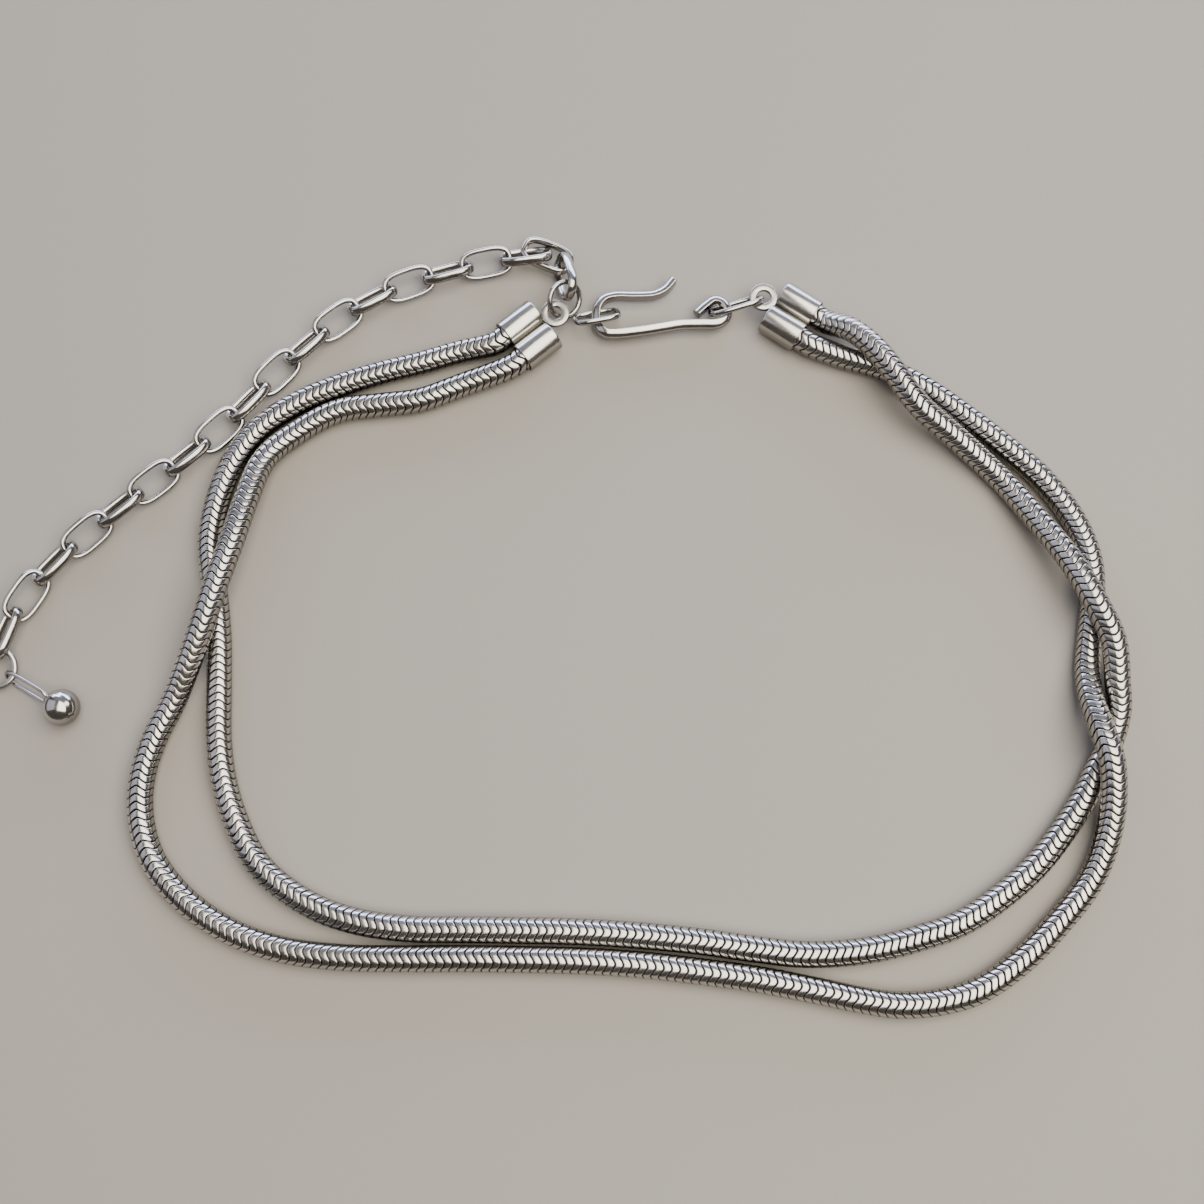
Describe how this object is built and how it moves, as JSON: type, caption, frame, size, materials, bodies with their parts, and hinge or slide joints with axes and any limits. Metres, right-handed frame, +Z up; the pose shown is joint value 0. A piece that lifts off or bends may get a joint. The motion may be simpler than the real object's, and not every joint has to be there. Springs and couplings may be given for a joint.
{
  "type": "snake chain choker",
  "caption": "Necklace of two snake chain strands with a hook clasp, an extension chain and a ball drop, fastened and lying flat.",
  "frame": {"origin": "middle of the whole necklace in X and Y, on the surface that it lies on", "axes": "+Z up from that surface, +Y from the front of the neck opening towards the clasp, +X to the right, away from the free end of the extension chain"},
  "size_m": [0.1652, 0.116, 0.0075],
  "materials": {
    "snake_chain": "polished scales",
    "polished_metal": "polished"
  },
  "bodies": {
    "root": {"strand_a": "snake_chain", "strand_b": "snake_chain", "left_end_cap": "polished_metal", "right_end_cap": "polished_metal", "jump_ring": "polished_metal", "catch_link": "polished_metal", "hook": "polished_metal", "hook_link": "polished_metal", "extension_link_01": "polished_metal", "extension_link_02": "polished_metal", "extension_link_03": "polished_metal", "extension_link_04": "polished_metal", "extension_link_05": "polished_metal", "extension_link_06": "polished_metal", "extension_link_07": "polished_metal", "extension_link_08": "polished_metal", "extension_link_09": "polished_metal", "extension_link_10": "polished_metal", "extension_link_11": "polished_metal", "extension_link_12": "polished_metal", "extension_link_13": "polished_metal", "extension_link_14": "polished_metal", "extension_link_15": "polished_metal", "extension_link_16": "polished_metal", "extension_link_17": "polished_metal", "extension_link_18": "polished_metal", "extension_link_19": "polished_metal", "end_ring": "polished_metal", "drop": "polished_metal"}
  },
  "joints": []
}
